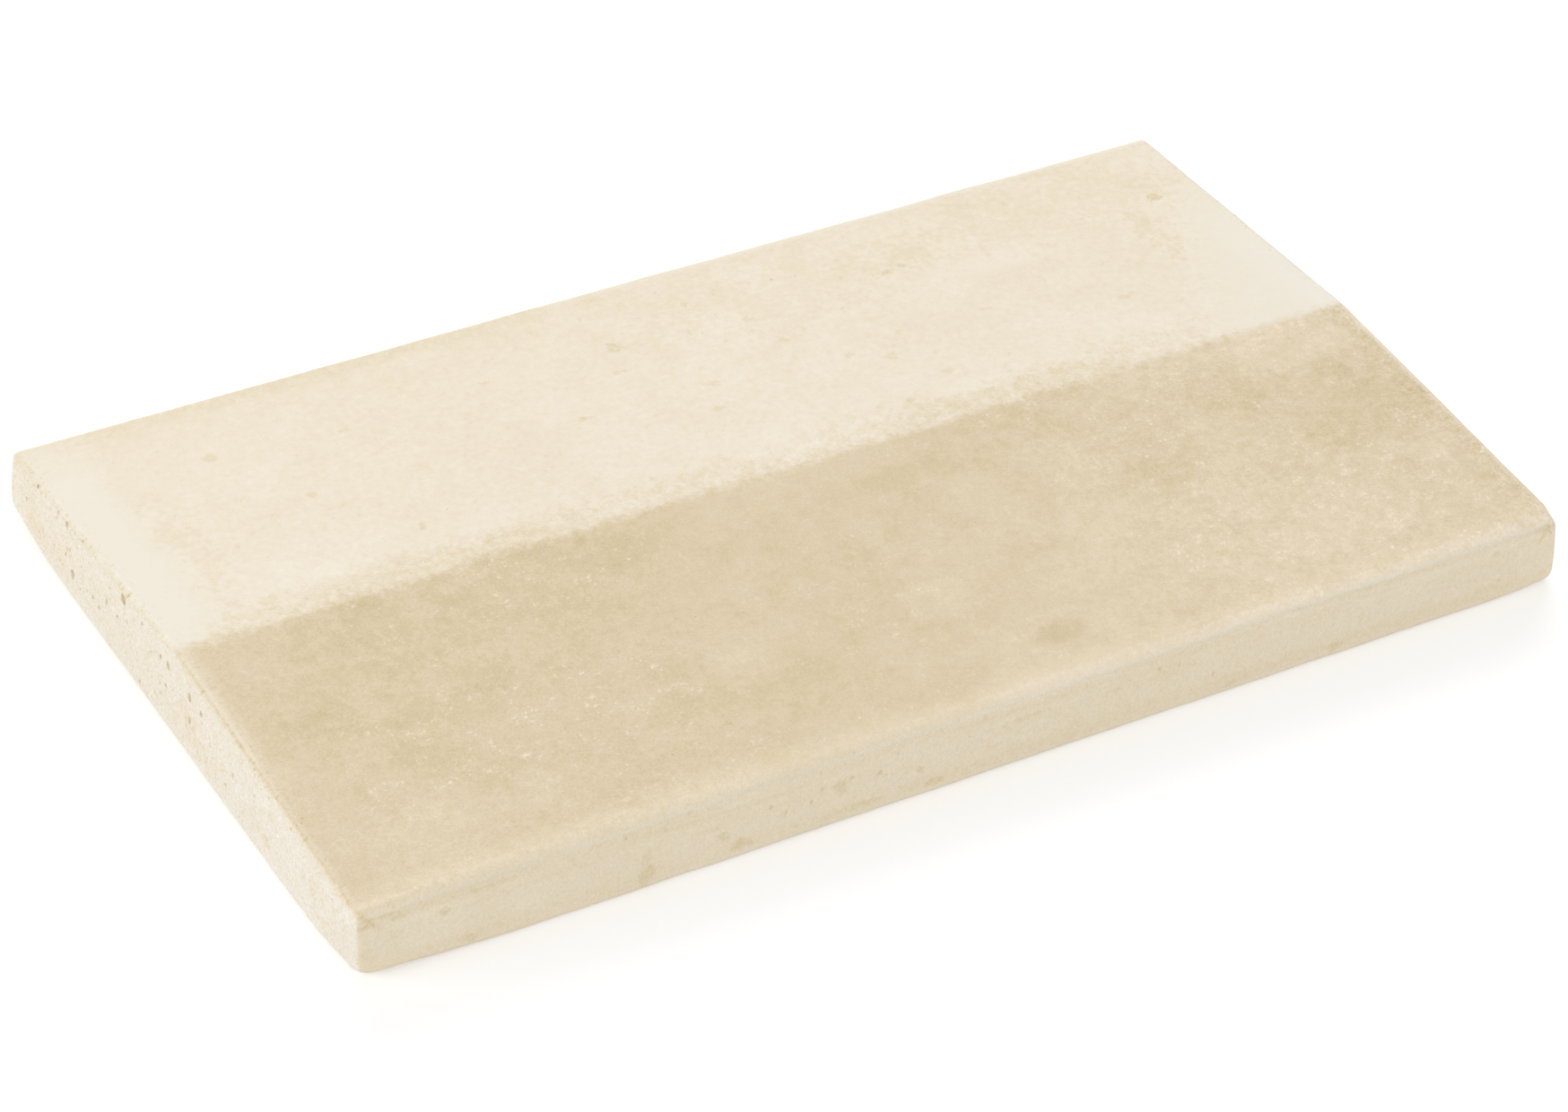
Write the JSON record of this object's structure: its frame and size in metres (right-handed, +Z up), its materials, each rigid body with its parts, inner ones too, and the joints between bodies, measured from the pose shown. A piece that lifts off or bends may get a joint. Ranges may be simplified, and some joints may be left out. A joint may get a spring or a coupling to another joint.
{
  "type": "concrete wall coping",
  "caption": "Double-slope wall coping cast in cream concrete, with a low central ridge, rounded edges and a flat underside that caps a garden or boundary wall.",
  "frame": {"origin": "centre of the flat underside", "axes": "+X along the ridge and the slab's length, +Y across it, +Z up from the underside to the ridge"},
  "size_m": [0.49, 0.28, 0.0354],
  "materials": {
    "concrete": "matte cream cast concrete, cloudy, with fine sand and small casting pits"
  },
  "bodies": {
    "root": {"coping": "concrete"}
  },
  "joints": []
}
